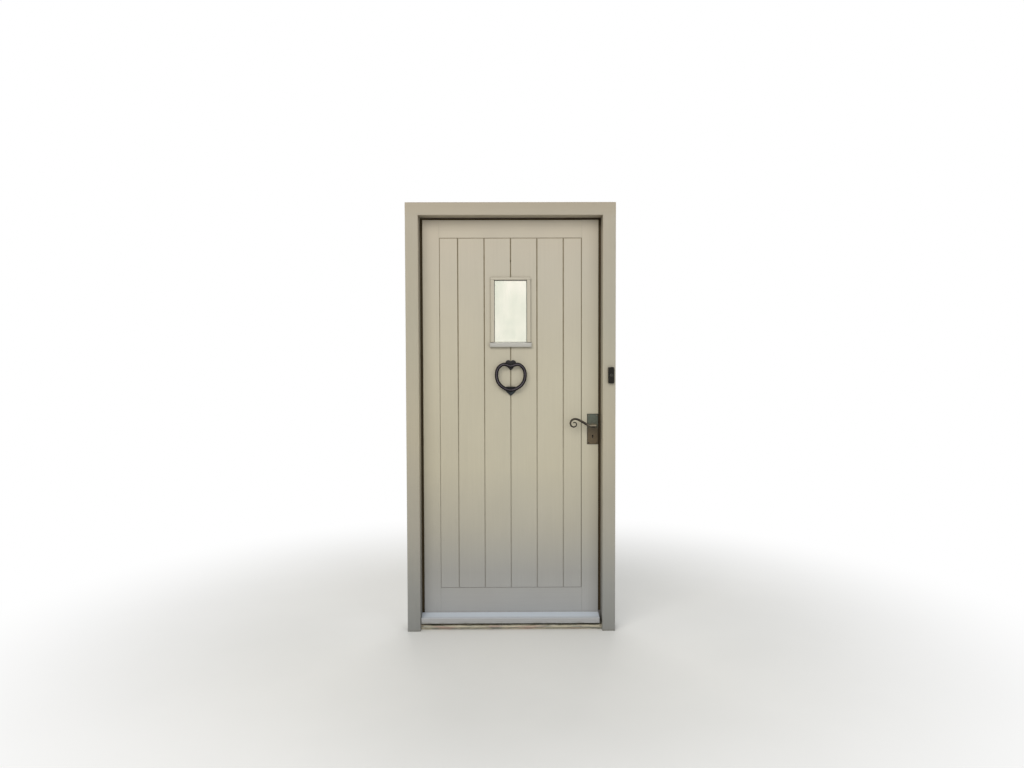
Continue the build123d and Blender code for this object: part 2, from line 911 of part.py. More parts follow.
with BuildPart() as window_liner:
    liner_half = opening_half + liner_thickness
    for z_low, z_high in (
        (opening_bottom - liner_thickness, opening_bottom),
        (opening_top, opening_top + liner_thickness),
    ):
        bar((-liner_half, liner_half), (outer_board_back, inner_board_back), (z_low, z_high))
    for x_low, x_high in ((-liner_half, -opening_half), (opening_half, liner_half)):
        bar((x_low, x_high), (outer_board_back, inner_board_back), (opening_bottom, opening_top))
finish(window_liner, "window_liner")


def glazing_ring(y_limits, inner_cover, outer_cover):
    """Flat ring about the visible glass, from one cover of its edge to another."""
    for cover, mode in ((outer_cover, Mode.ADD), (inner_cover, Mode.SUBTRACT)):
        bar(
            (-glass_half_width - cover, glass_half_width + cover), y_limits,
            (glass_bottom - cover, glass_top + cover), mode,
        )


with BuildPart() as glazing_gasket:
    glazing_ring((unit_front - gasket_thickness, unit_front), -gasket_lip, glass_cover)
finish(glazing_gasket, "glazing_gasket")

for label, pane_front in (("outer_pane", unit_front), ("inner_pane", unit_back - pane_thickness)):
    with BuildPart() as pane:
        bar(
            (-glass_half_width - glass_cover, glass_half_width + glass_cover),
            (pane_front, pane_front + pane_thickness),
            (glass_bottom - glass_cover, glass_top + glass_cover),
        )
    finish(pane, label)

with BuildPart() as spacer_bar:
    glazing_ring(
        (unit_front + pane_thickness, unit_back - pane_thickness),
        gasket_lip, glass_cover - spacer_inset,
    )
finish(spacer_bar, "spacer_bar")

surround_left = -glass_half_width - surround_side
surround_top = glass_top + surround_head
surround_bottom = glass_bottom - surround_sill
bead_reach = unit_front - gasket_thickness

for side, label in ((-1, "surround_left"), (1, "surround_right")):
    with BuildPart() as upright:
        inner_x = side * glass_half_width
        outer_x = side * (glass_half_width + surround_side)
        low_x, high_x = sorted((inner_x, outer_x))
        bar((low_x, high_x), (leaf_front - surround_proud, leaf_front), (glass_bottom, glass_top))
        fillet(
            upright.edges().filter_by(Axis.Z).group_by(Axis.Y)[0], radius=surround_round
        )
        bar(
            sorted((inner_x, side * (opening_half - joint_clearance))),
            (leaf_front, bead_reach), (glass_bottom, glass_top),
        )
    finish(upright, label)

with BuildPart() as surround_head_piece:
    bar(
        (surround_left, -surround_left), (leaf_front - surround_proud, leaf_front),
        (glass_top, surround_top),
    )
    fillet(
        surround_head_piece.edges().filter_by(Axis.X).group_by(Axis.Y)[0], radius=surround_round
    )
    bar(
        (-opening_half + joint_clearance, opening_half - joint_clearance),
        (leaf_front, bead_reach), (glass_top, opening_top - joint_clearance),
    )
finish(surround_head_piece, "surround_head")

with BuildPart() as surround_sill_piece:
    with BuildSketch(Plane.YZ.offset(surround_left - sill_horn)) as section:
        with BuildLine():
            Polyline(
                (leaf_front, surround_bottom), (leaf_front, glass_bottom),
                (leaf_front - sill_proud, glass_bottom - sill_slope),
                (leaf_front - sill_proud, surround_bottom), close=True,
            )
        make_face()
        fillet(section.vertices().group_by(Axis.X)[0], radius=surround_round)
    extrude(amount=-2 * (surround_left - sill_horn))
    bar(
        (-opening_half + joint_clearance, opening_half - joint_clearance),
        (leaf_front, bead_reach), (opening_bottom + joint_clearance, glass_bottom),
    )
finish(surround_sill_piece, "surround_sill")

with BuildPart() as inner_beads:
    bead_y = (unit_back, leaf_back)
    bead_end = opening_half - joint_clearance
    bar((-bead_end, bead_end), bead_y, (opening_bottom + joint_clearance, glass_bottom))
    bar((-bead_end, bead_end), bead_y, (glass_top, opening_top - joint_clearance))
    for side in (-1, 1):
        bar(sorted((side * glass_half_width, side * bead_end)), bead_y, (glass_bottom, glass_top))
    chamfer(
        inner_beads.faces().sort_by(Axis.Y)[-1].inner_wires()[0].edges(),
        length=bead_end - glass_half_width - bead_flat,
    )
finish(inner_beads, "inner_beads")


# Weatherboard, with a drip groove under its nose and its lock end cut short for the swing

with BuildPart() as weatherboard:
    left_end = -lip_half + weatherboard_hinge_gap
    nose = leaf_front - weatherboard_projection
    with BuildSketch(Plane.YZ.offset(left_end)) as section:
        with BuildLine():
            Polyline(
                (leaf_front, weatherboard_bottom), (leaf_front, weatherboard_top),
                (nose, weatherboard_nose), (nose, weatherboard_bottom), close=True,
            )
        make_face()
        fillet(section.vertices().group_by(Axis.X)[0], radius=weatherboard_round)
        with Locations((nose + drip_setback, weatherboard_bottom)):
            Circle(drip_radius, mode=Mode.SUBTRACT)
    extrude(amount=2 * lip_half - weatherboard_hinge_gap - weatherboard_lock_gap)
finish(weatherboard, "weatherboard")


# Hinges

def knuckle_ranges(first):
    """Height limits of every second knuckle of one hinge, about its middle."""
    pitch = hinge_height / knuckle_count
    start = -hinge_height / 2
    return [
        (start + i * pitch + knuckle_gap / 2, start + (i + 1) * pitch - knuckle_gap / 2)
        for i in range(first, knuckle_count, 2)
    ]


def make_hinge_leaves(face, side, first, name):
    """Three plates let into the timber at one face, each rolled round its pin."""
    plate_x = sorted((face, face + side * hinge_plate))
    with BuildPart() as leaves:
        for height in hinge_heights:
            bar(
                plate_x, (plate_front, frame_back - knuckle_gap / 2),
                (height - hinge_height / 2, height + hinge_height / 2),
            )
            for low, high in knuckle_ranges(first):
                bar(plate_x, (frame_back - plate_overlap, hinge_axis_y), (height + low, height + high))
                with BuildSketch(Plane.XY.offset(height + low)):
                    with Locations((hinge_axis_x, hinge_axis_y)):
                        Circle(knuckle_radius - knuckle_gap / 4)
                extrude(amount=high - low)
        for height in hinge_heights:
            with Locations((hinge_axis_x, hinge_axis_y, height)):
                Hole(pin_radius + pin_clearance, depth=hinge_height / 2 + drill_past)
        for height in hinge_screw_heights:
            with Locations(facing(face, hinge_screw_line, height, (-side, 0, 0))):
                CounterSinkHole(
                    screw_radius + screw_clearance, screw_head_radius + screw_clearance,
                    depth=hinge_plate + drill_past, counter_sink_angle=screw_head_angle,
                )
    finish(leaves, name)


make_hinge_leaves(-rebate_half, -1, 0, "hinge_frame_leaves")
make_hinge_leaves(-leaf_half, 1, 1, "hinge_door_leaves")

with BuildPart() as loose_pin:
    with BuildSketch(Plane.XZ):
        with BuildLine():
            pin_end = hinge_height / 2
            pin_foot = -pin_end - pin_radius / 2
            Polyline(
                (0, pin_end + pin_cap_height), (0, pin_foot), (pin_radius / 2, pin_foot),
                (pin_radius, -pin_end), (pin_radius, pin_end), (pin_cap_radius, pin_end),
            )
            TangentArc((0, pin_end + pin_cap_height), (pin_cap_radius, pin_end), tangent=(1, 0))
        make_face()
    revolve(axis=Axis.Z)

with BuildPart() as hinge_pins:
    with Locations(*[(hinge_axis_x, hinge_axis_y, height) for height in hinge_heights]):
        add(loose_pin.part)
finish(hinge_pins, "hinge_pins")


def countersunk_screw(radius, head_radius, length):
    """Screw driven along -Z, its head flush with the local origin."""
    with BuildPart() as screw:
        with BuildSketch(Plane.XZ):
            with BuildLine():
                Polyline(
                    (0, 0), (head_radius, 0), (radius, radius - head_radius),
                    (radius, 3 * radius - length), (0, -length), close=True,
                )
            make_face()
        revolve(axis=Axis.Z)
    return screw.part


wood_screw = countersunk_screw(screw_radius, screw_head_radius, screw_length)
plate_screw = countersunk_screw(plate_screw_radius, plate_screw_head, plate_screw_length)

with BuildPart() as frame_screws:
    with Locations(
        *[facing(-rebate_half, hinge_screw_line, z, (1, 0, 0)) for z in hinge_screw_heights],
        *[
            facing(rebate_half, lock_y, z, (-1, 0, 0))
            for z in strike_screw_heights
        ],
    ):
        add(wood_screw)
finish(frame_screws, "frame_screws")

with BuildPart() as leaf_screws:
    with Locations(
        *[facing(-leaf_half, hinge_screw_line, z, (-1, 0, 0)) for z in hinge_screw_heights],
        *[
            facing(leaf_half, lock_y, z, (1, 0, 0))
            for z in forend_screw_heights
        ],
    ):
        add(wood_screw)
finish(leaf_screws, "leaf_screws")

with BuildPart() as handle_screws:
    with Locations(
        *[
            facing(x, face + direction * backplate_thickness, z, (0, direction, 0))
            for face, direction in ((leaf_front, -1), (leaf_back, 1))
            for x, z in plate_screws
        ]
    ):
        add(plate_screw)
finish(handle_screws, "handle_screws")


# Mortice lock: a thin case with its forend, two bolts and the follower that the spindle turns

def key_slot(plane, depth):
    """Keyhole with a round head over a narrow slot, cut along the plane's normal."""
    with BuildSketch(plane) as slot:
        Circle(key_head_radius)
        with Locations((0, -key_slot_height / 2)):
            Rectangle(key_slot_width, key_slot_height)
    extrude(slot.sketch, amount=depth, both=True, mode=Mode.SUBTRACT)


def lock_plane(y, z):
    """Upright plane facing outside, centred on the spindle's line."""
    return Plane(origin=(spindle_x, y, z), x_dir=(1, 0, 0), z_dir=(0, -1, 0))


with BuildPart() as lock_case:
    case_front = leaf_half - forend_thickness
    outer_y = (lock_y - case_thickness / 2, lock_y + case_thickness / 2)
    inner_y = (outer_y[0] + case_wall, outer_y[1] - case_wall)
    bar((case_back, case_front), outer_y, (case_bottom, case_top))
    bar(
        (case_back + case_wall, case_front), inner_y,
        (case_bottom + case_wall, case_top - case_wall), Mode.SUBTRACT,
    )
    bar(
        (case_front, leaf_half), (lock_y - forend_width / 2, lock_y + forend_width / 2),
        (forend_centre - forend_height / 2, forend_centre + forend_height / 2),
    )
    for centre, width, height in (
        (spindle_height, latch_width, latch_height),
        (deadbolt_centre, deadbolt_width, deadbolt_height),
    ):
        half_y = width / 2 + bolt_clearance
        half_z = height / 2 + bolt_clearance
        bar(
            (case_front, leaf_half), (lock_y - half_y, lock_y + half_y),
            (centre - half_z, centre + half_z), Mode.SUBTRACT,
        )
    with Locations(facing(spindle_x, lock_y, spindle_height, (0, -1, 0))):
        Hole(follower_opening, depth=case_thickness)
    bar(
        (spindle_x - curtain_half_width, spindle_x + curtain_half_width), inner_y,
        (keyhole_height - curtain_half_height, keyhole_height + curtain_half_height),
    )
    for side_y in outer_y:
        key_slot(lock_plane(side_y, key_head_height), key_reach)
    for height in forend_screw_heights:
        with Locations(facing(leaf_half, lock_y, height, (1, 0, 0))):
            CounterSinkHole(
                screw_radius + screw_clearance, screw_head_radius + screw_clearance,
                depth=forend_thickness + drill_past, counter_sink_angle=screw_head_angle,
            )
finish(lock_case, "lock_case")

with BuildPart() as latch_bolt:
    head_back = case_front - latch_head
    tail_y = (lock_y - bolt_tail_half, lock_y + bolt_tail_half)
    tail_bottom = spindle_height + follower_arm + latch_tail_gap
    tail_top = tail_bottom + latch_tail
    hook_face = spindle_x - follower_arm_width - latch_hook_gap
    with BuildSketch(Plane.XY.offset(spindle_height - latch_height / 2)):
        with BuildLine():
            tip = leaf_half + latch_throw
            near = lock_y - latch_width / 2
            far = lock_y + latch_width / 2
            Polyline(
                (head_back, near), (tip - latch_bevel, near), (tip, far - latch_tip),
                (tip, far), (head_back, far), close=True,
            )
        make_face()
    extrude(amount=latch_height)
    bar((head_back - latch_tail, head_back), tail_y, (spindle_height - latch_height / 2, tail_top))
    bar((hook_face - latch_tail, head_back), tail_y, (tail_bottom, tail_top))
    bar(
        (hook_face - latch_tail, hook_face), tail_y,
        (spindle_height + follower_arm - latch_hook_drop, tail_top),
    )
finish(latch_bolt, "latch_bolt")

with BuildPart() as deadbolt:
    bolt_back = leaf_half - deadbolt_length
    bolt_y = (lock_y - deadbolt_width / 2, lock_y + deadbolt_width / 2)
    bolt_bottom = deadbolt_centre - deadbolt_height / 2
    bar((bolt_back, leaf_half), bolt_y, (bolt_bottom, bolt_bottom + deadbolt_height))
    fillet(deadbolt.edges().filter_by(Axis.Y).group_by(Axis.X)[-1], radius=deadbolt_round)
    bar(
        (bolt_back, bolt_back + deadbolt_notch[0]), bolt_y,
        (bolt_bottom, bolt_bottom + deadbolt_notch[1]), Mode.SUBTRACT,
    )
finish(deadbolt, "deadbolt")

follower_half = case_thickness / 2 - case_wall - bolt_clearance
with BuildPart() as follower:
    with BuildSketch(lock_plane(lock_y, spindle_height)):
        Circle(follower_radius)
        with Locations((-follower_arm_width / 2, follower_arm / 2)):
            Rectangle(follower_arm_width, follower_arm)
        socket = spindle_size + 2 * spindle_clearance
        Rectangle(socket, socket, mode=Mode.SUBTRACT)
    extrude(amount=follower_half, both=True)
finish(follower, "follower")

with BuildPart() as strike_plate:
    strike_face = rebate_half + strike_thickness
    bar(
        (rebate_half, strike_face), (lock_y - forend_width / 2, frame_back),
        (strike_centre - strike_height / 2, strike_centre + strike_height / 2),
    )
    strike_windows((rebate_half, strike_face))
    with BuildSketch(Plane.XY.offset(spindle_height - strike_lip_height / 2)):
        with BuildLine():
            lip_end_x = strike_face + strike_lip_radius
            lip_end_y = frame_back + strike_lip_radius
            Line((rebate_half, frame_back), (strike_face, frame_back))
            RadiusArc((strike_face, frame_back), (lip_end_x, lip_end_y), strike_lip_radius)
            Line((lip_end_x, lip_end_y), (lip_end_x, lip_end_y + strike_thickness))
            RadiusArc(
                (lip_end_x, lip_end_y + strike_thickness), (rebate_half, frame_back),
                -strike_lip_radius - strike_thickness,
            )
        make_face()
    extrude(amount=strike_lip_height)
    for height in strike_screw_heights:
        with Locations(facing(rebate_half, lock_y, height, (-1, 0, 0))):
            CounterSinkHole(
                screw_radius + screw_clearance, screw_head_radius + screw_clearance,
                depth=strike_thickness + drill_past, counter_sink_angle=screw_head_angle,
            )
finish(strike_plate, "strike_plate")


# Handles: a thin plate and a scroll lever on each side, joined by a square spindle

lever_y = {-1: leaf_front - lever_standoff, 1: leaf_back + lever_standoff}


def make_backplate(face, direction, name):
    """Plate screwed to one face of the leaf."""
    outer = face + direction * backplate_thickness
    with BuildPart() as plate:
        bar(
            (plate_centre_x - backplate_width / 2, plate_centre_x + backplate_width / 2),
            sorted((face, outer)), (backplate_bottom, backplate_bottom + backplate_height),
        )
        fillet(plate.edges().filter_by(Axis.Y), radius=backplate_corner)
        rim = plate.faces().sort_by(Axis.Y)[0 if direction < 0 else -1].edges()
        chamfer(rim, length=backplate_bevel)
        with Locations(facing(spindle_x, outer, spindle_height, (0, direction, 0))):
            Hole(hub_radius + hub_clearance)
        key_slot(lock_plane(face, key_head_height), backplate_thickness + drill_past)
        with Locations(*[facing(x, outer, z, (0, direction, 0)) for x, z in plate_screws]):
            CounterSinkHole(
                plate_screw_radius + screw_clearance, plate_screw_head + screw_clearance,
                depth=backplate_thickness + drill_past, counter_sink_angle=screw_head_angle,
            )
    finish(plate, name)


make_backplate(leaf_front, -1, "outside_backplate")
make_backplate(leaf_back, 1, "inside_backplate")


def scroll_point(angle):
    """Point on the scroll, a spiral that shrinks by the same share each quarter turn."""
    radius = scroll_radius * scroll_shrink ** ((angle - 90.0) / 90.0)
    turn = math.radians(angle)
    return (
        scroll_centre[0] + radius * math.cos(turn), scroll_centre[1] + radius * math.sin(turn)
    )


scroll_count = round((scroll_end - scroll_start) / scroll_step)
scroll_points = [scroll_point(scroll_start + i * scroll_step) for i in range(scroll_count + 1)]


def make_lever(face, direction, name):
    """Forged lever: a hub on the spindle, and a tapering arm that ends in a scroll."""
    plane_y = face + direction * lever_standoff
    hub_plane = lock_plane(plane_y, spindle_height)
    outward = direction < 0
    with BuildPart() as lever:
        with BuildLine(hub_plane):
            spine = Spline(*lever_arm, *scroll_points)
        shares = [i / (len(lever_radii) - 1) for i in range(len(lever_radii))]
        for share, radius in zip(shares, lever_radii):
            with BuildSketch(Plane(origin=spine @ share, x_dir=(0, 1, 0), z_dir=spine % share)):
                Circle(radius)
        sweep(path=spine, multisection=True)
        for share, radius in ((0, lever_radii[0]), (1, lever_radii[-1])):
            with Locations(spine @ share):
                Sphere(radius)
        hub_length = lever_standoff - backplate_thickness + hub_seat
        with BuildSketch(hub_plane):
            Circle(hub_radius)
        extrude(amount=-hub_length if outward else hub_length)
        with BuildSketch(hub_plane.offset(-hub_rise if outward else hub_rise)):
            Circle(hub_collar_radius)
        extrude(amount=-hub_collar_height if outward else hub_collar_height)
        bar(
            (spindle_x - socket / 2, spindle_x + socket / 2),
            sorted((face, plane_y - direction * spindle_cover)),
            (spindle_height - socket / 2, spindle_height + socket / 2), Mode.SUBTRACT,
        )
    finish(lever, name)


make_lever(leaf_front, -1, "outside_lever")
make_lever(leaf_back, 1, "inside_lever")

with BuildPart() as spindle:
    bar(
        (spindle_x - spindle_size / 2, spindle_x + spindle_size / 2),
        (
            lever_y[-1] + spindle_cover + spindle_end_gap,
            lever_y[1] - spindle_cover - spindle_end_gap,
        ),
        (spindle_height - spindle_size / 2, spindle_height + spindle_size / 2),
    )
finish(spindle, "spindle")


# Heart knocker

def knocker_plane(y):
    """Upright plane facing outside, centred on the knocker's pivot."""
    return Plane(origin=(0, y, knocker_pivot_height), x_dir=(1, 0, 0), z_dir=(0, -1, 0))


plate_face = knocker_plane(leaf_front)
pivot_plane = Plane(
    origin=(0, knocker_pivot_y, knocker_pivot_height), x_dir=(0, 1, 0), z_dir=(1, 0, 0)
)

with BuildPart() as knocker_plate:
    with BuildSketch(plate_face) as outline:
        with BuildLine():
            lobe_x = plate_half_width - plate_lobe_radius
            widest = (plate_half_width, plate_lobe_rise)
            cleft = plate_lobe_rise + plate_lobe_radius * plate_cleft_share
            ThreePointArc((0, cleft), (lobe_x, plate_lobe_rise + plate_lobe_radius), widest)
            belly_x = plate_half_width * plate_cleft_share
            ThreePointArc(widest, (belly_x, plate_lobe_rise - plate_belly), (0, plate_tip))
            mirror(about=Plane.YZ)
        make_face()
    extrude(amount=plate_thickness)
    fillet(knocker_plate.faces().sort_by(Axis.Y)[0].edges(), radius=plate_round)
    with BuildSketch(pivot_plane.offset(-lug_half_width)):
        with BuildLine():
            reach = leaf_front - plate_thickness - knocker_pivot_y
            Polyline((0, ear_radius), (reach, ear_radius), (reach, -ear_radius), (0, -ear_radius))
            ThreePointArc((0, -ear_radius), (-ear_radius, 0), (0, ear_radius))
        make_face()
        Circle(knocker_pin_radius + pin_clearance, mode=Mode.SUBTRACT)
    extrude(amount=2 * lug_half_width)
finish(knocker_plate, "knocker_plate")

with BuildPart() as knocker_strike:
    with BuildSketch(plate_face):
        with BuildLine():
            Polyline(
                (0, strike_top), (plate_half_width / 2, strike_top - strike_shoulder),
                (plate_half_width, strike_wing),
            )
            ThreePointArc(
                (plate_half_width, strike_wing),
                (plate_half_width / 2, strike_wing - strike_belly), (0, strike_tip),
            )
            mirror(about=Plane.YZ)
        make_face()
    extrude(amount=plate_thickness)
    chamfer(knocker_strike.faces().sort_by(Axis.Y)[0].edges(), length=plate_round)
    with BuildSketch(plate_face):
        with Locations((0, -strike_stud_drop)):
            Circle(strike_stud_radius)
    extrude(amount=leaf_front - collar_back - knocker_running_gap)
finish(knocker_strike, "knocker_strike")

with BuildPart() as knocker_ring:
    with BuildLine(knocker_plane(ring_centre_y)) as half_ring:
        Spline((0, ring_cleft), *ring_half, (0, ring_bottom))
    half_wire = half_ring.wire()
    start_plane = Plane(origin=half_wire @ 0, x_dir=(0, 1, 0), z_dir=half_wire % 0)
    with BuildSketch(start_plane):
        with BuildLine():
            back = ring_depth / 2
            edge = back - ring_edge
            half_band = ring_band / 2
            crest = -edge - ring_crest_drop
            shoulder = half_band - ring_shoulder
            Polyline((crest, ring_crest), (0, shoulder))
            ThreePointArc((0, shoulder), (edge, half_band), (back, half_band - ring_back_round))
            Line((back, half_band - ring_back_round), (back, ring_back_round - half_band))
            ThreePointArc((back, ring_back_round - half_band), (edge, -half_band), (0, -shoulder))
            Line((0, -shoulder), (crest, -ring_crest))
            ThreePointArc((crest, -ring_crest), (-back, 0), (crest, ring_crest))
        make_face()
    sweep(path=half_wire)
    split(bisect_by=Plane.YZ, keep=Keep.TOP)
    mirror(about=Plane.YZ)
    with BuildSketch(knocker_plane(collar_front)):
        with BuildLine():
            Polyline(
                (0, collar_top), (collar_half_width, collar_top),
                (collar_half_width + collar_flare, collar_top - collar_flare_drop),
                (0, collar_tip),
            )
            mirror(about=Plane.YZ)
        make_face()
    extrude(amount=-collar_depth)
    with BuildSketch(pivot_plane.offset(lug_half_width + lug_gap)):
        Circle(ear_radius)
        with Locations((-ear_radius, 0)):
            Rectangle(2 * ear_radius, 2 * ear_radius)
        Circle(knocker_pin_radius + pin_clearance, mode=Mode.SUBTRACT)
    ears = extrude(amount=ear_thickness)
    mirror(ears, about=Plane.YZ)
    with Locations(pivot_plane.location):
        Cylinder(ear_radius + lug_gap * 2, 2 * (lug_half_width + lug_gap), mode=Mode.SUBTRACT)
finish(knocker_ring, "knocker_ring")

with BuildPart() as knocker_pin:
    with BuildSketch(pivot_plane.offset(-knocker_pin_length / 2)):
        Circle(knocker_pin_radius)
    extrude(amount=knocker_pin_length)
finish(knocker_pin, "knocker_pin")

with BuildPart() as through_bolt:
    with BuildSketch(Plane.XZ):
        with BuildLine():
            grip = leaf_back - leaf_front
            nut_side = (bolt_nut_radius, -grip - bolt_nut_side)
            Polyline((0, 0), (bolt_radius, 0), (bolt_radius, -grip), (bolt_nut_radius, -grip), nut_side)
            TangentArc((0, -grip - bolt_nut_height), nut_side, tangent=(1, 0))
            Line((0, -grip - bolt_nut_height), (0, 0))
        make_face()
    revolve(axis=Axis.Z)

with BuildPart() as knocker_bolts:
    with Locations(
        *[
            facing(0, leaf_front, height, (0, -1, 0))
            for height in (knocker_bolt_top, strike_stud_height)
        ]
    ):
        add(through_bolt.part)
finish(knocker_bolts, "knocker_bolts")


# Bell push

bell_x = frame_half - bell_edge_gap - bell_width / 2
bell_plane = Plane(origin=(bell_x, frame_front, bell_height), x_dir=(1, 0, 0), z_dir=(0, -1, 0))

with BuildPart() as bell_housing:
    with BuildSketch(bell_plane):
        RectangleRounded(bell_width, bell_length, bell_corner)
    extrude(amount=bell_depth)
    fillet(bell_housing.faces().sort_by(Axis.Y)[0].edges(), radius=bell_edge_round)
    with BuildSketch(bell_plane):
        RectangleRounded(
            bell_width - 2 * bell_wall, bell_length - 2 * bell_wall, bell_corner - bell_wall
        )
    extrude(amount=bell_depth - bell_wall, mode=Mode.SUBTRACT)
    with Locations(bell_plane.offset(bell_depth).location):
        Hole(button_radius + button_clearance, depth=bell_wall + drill_past)
finish(bell_housing, "bell_housing")

with BuildPart() as bell_button:
    flange_face = bell_depth - bell_wall - button_clearance
    stem_length = flange_face - button_flange - button_travel - button_rest_gap
    with BuildSketch(bell_plane.offset(flange_face)):
        Circle(button_radius + button_clearance + button_flange)
    extrude(amount=-button_flange)
    with BuildSketch(bell_plane.offset(flange_face)):
        Circle(button_radius)
    extrude(amount=bell_wall + button_clearance + button_proud)
    fillet(bell_button.edges().group_by(Axis.Y)[0], radius=button_edge_round)
    with BuildSketch(bell_plane.offset(flange_face - button_flange)):
        Circle(button_radius / 2)
    extrude(amount=-stem_length)
finish(bell_button, "bell_button")
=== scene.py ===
import math

import bpy
from mathutils import Matrix, Vector


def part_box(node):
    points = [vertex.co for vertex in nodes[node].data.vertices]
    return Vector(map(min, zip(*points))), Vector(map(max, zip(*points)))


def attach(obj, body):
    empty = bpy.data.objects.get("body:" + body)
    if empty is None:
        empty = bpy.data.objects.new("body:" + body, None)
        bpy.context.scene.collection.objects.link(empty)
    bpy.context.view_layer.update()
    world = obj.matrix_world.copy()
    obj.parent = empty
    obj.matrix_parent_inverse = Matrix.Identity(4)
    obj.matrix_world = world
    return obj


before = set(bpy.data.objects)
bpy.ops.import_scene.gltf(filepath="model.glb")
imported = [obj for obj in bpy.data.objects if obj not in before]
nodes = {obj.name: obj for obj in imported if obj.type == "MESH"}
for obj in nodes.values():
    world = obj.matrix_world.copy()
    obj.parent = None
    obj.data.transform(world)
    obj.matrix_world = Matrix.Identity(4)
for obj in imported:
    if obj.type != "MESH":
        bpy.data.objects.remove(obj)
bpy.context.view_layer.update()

# Looks for a boarded cottage door with its frame.
# X runs along the wall, Y inwards and Z up, in metres. Colours are written as sRGB from 0 to 255.


# Colour and node helpers

def linear(red, green, blue):
    """Linear colour of an sRGB colour given from 0 to 255."""
    def channel(value):
        value /= 255.0
        return value / 12.92 if value <= 0.04045 else ((value + 0.055) / 1.055) ** 2.4
    return (channel(red), channel(green), channel(blue), 1.0)


class Surface:
    """A principled material with short ways to add procedural detail."""

    def __init__(self, name, roughness=0.5, metallic=0.0, specular=0.5):
        self.material = bpy.data.materials.new(name)
        self.material.use_nodes = True
        self.tree = self.material.node_tree
        self.shader = self.tree.nodes["Principled BSDF"]
        self.setting("Roughness", roughness)
        self.setting("Metallic", metallic)
        self.setting("Specular IOR Level", specular)
        self.place = self.tree.nodes.new("ShaderNodeTexCoord").outputs["Object"]

    def node(self, kind, **settings):
        made = self.tree.nodes.new(kind)
        for key, value in settings.items():
            setattr(made, key, value)
        return made

    def link(self, source, target):
        """Feed a socket from another one, or set it to a number or colour."""
        if isinstance(source, (int, float, tuple)):
            target.default_value = source
        else:
            self.tree.links.new(source, target)

    def setting(self, name, value):
        """Set or feed one of the shader's own sockets."""
        self.link(value, self.shader.inputs[name])

    # Patterns, from 0 to 1

    def scaled(self, scale, offset=(0.0, 0.0, 0.0)):
        mapping = self.node("ShaderNodeMapping")
        self.link(self.place, mapping.inputs["Vector"])
        self.link(scale, mapping.inputs["Scale"])
        self.link(offset, mapping.inputs["Location"])
        return mapping.outputs["Vector"]

    def noise(self, scale, detail=4.0, rough=0.55, offset=(0.0, 0.0, 0.0)):
        """Soft noise. Scale says how often it changes along each axis."""
        made = self.node("ShaderNodeTexNoise")
        self.link(self.scaled(scale, offset), made.inputs["Vector"])
        self.link(1.0, made.inputs["Scale"])
        self.link(detail, made.inputs["Detail"])
        self.link(rough, made.inputs["Roughness"])
        return made.outputs["Fac"]

    def hammered(self, scale):
        """Rounded cells, as a hammer leaves them."""
        made = self.node("ShaderNodeTexVoronoi", feature="SMOOTH_F1")
        self.link(self.scaled((scale, scale, scale)), made.inputs["Vector"])
        self.link(1.0, made.inputs["Scale"])
        return made.outputs["Distance"]

    def corners(self, distance):
        """Near 1 on open surfaces and falling towards 0 in joints and corners."""
        made = self.node("ShaderNodeAmbientOcclusion", samples=8)
        self.link(distance, made.inputs["Distance"])
        return made.outputs["AO"]

    # Places on the part

    def axis(self, letter):
        made = self.node("ShaderNodeSeparateXYZ")
        self.link(self.place, made.inputs[0])
        return made.outputs[letter]

    def past(self, letter, start):
        """How far a point lies past a place on one axis."""
        return self.maths("SUBTRACT", self.axis(letter), start)

    def apart(self, letter, middle):
        """How far a point lies from a place on one axis, on either side."""
        return self.maths("ABSOLUTE", self.past(letter, middle))

    def oval(self, centre, half_size):
        """0 at the centre of an upright oval, 1 on its edge. Both are given along X and Z."""
        shares = [
            self.maths("POWER", self.maths("DIVIDE", self.past(letter, middle), half), 2.0)
            for letter, middle, half in zip("XZ", centre, half_size)
        ]
        return self.maths("ADD", *shares)

    # Sums and colours

    def maths(self, operation, first, second=0.0):
        made = self.node("ShaderNodeMath", operation=operation)
        self.link(first, made.inputs[0])
        self.link(second, made.inputs[1])
        return made.outputs[0]

    def between(self, value, low, high):
        """0 at low, 1 at high, and straight between them."""
        made = self.node("ShaderNodeMapRange")
        self.link(value, made.inputs["Value"])
        self.link(low, made.inputs["From Min"])
        self.link(high, made.inputs["From Max"])
        return made.outputs["Result"]

    def ramp(self, factor, stops, smooth=False):
        """Stops are positions, each with a linear colour or with a number for a grey."""
        made = self.node("ShaderNodeValToRGB")
        band = made.color_ramp
        band.interpolation = "EASE" if smooth else "LINEAR"
        while len(band.elements) < len(stops):
            band.elements.new(1.0)
        for element, (position, colour) in zip(band.elements, stops):
            element.position = position
            element.color = colour if isinstance(colour, tuple) else (colour, colour, colour, 1.0)
        self.link(factor, made.inputs["Fac"])
        return made.outputs["Color"]

    def tones(self, factor, dark, pale, low=0.3, high=0.7):
        """A ramp from one sRGB colour to another."""
        return self.ramp(factor, [(low, linear(*dark)), (high, linear(*pale))])

    def mix(self, factor, first, second, mode="MIX"):
        made = self.node("ShaderNodeMix", data_type="RGBA", blend_type=mode)
        self.link(factor, made.inputs[0])
        self.link(first, made.inputs[6])
        self.link(second, made.inputs[7])
        return made.outputs[2]

    def shaded(self, share, base, pattern, stops):
        """Darken and lighten a colour with a pattern, whose stops lie round middle grey."""
        return self.mix(share, base, self.ramp(pattern, stops), "OVERLAY")

    # What the shader gets

    def colour(self, value):
        self.setting("Base Color", value)

    def rough(self, pattern, least, most, low=0.3, high=0.7):
        """Let the roughness go from least to most with a pattern."""
        self.setting("Roughness", self.ramp(pattern, [(low, least), (high, most)]))

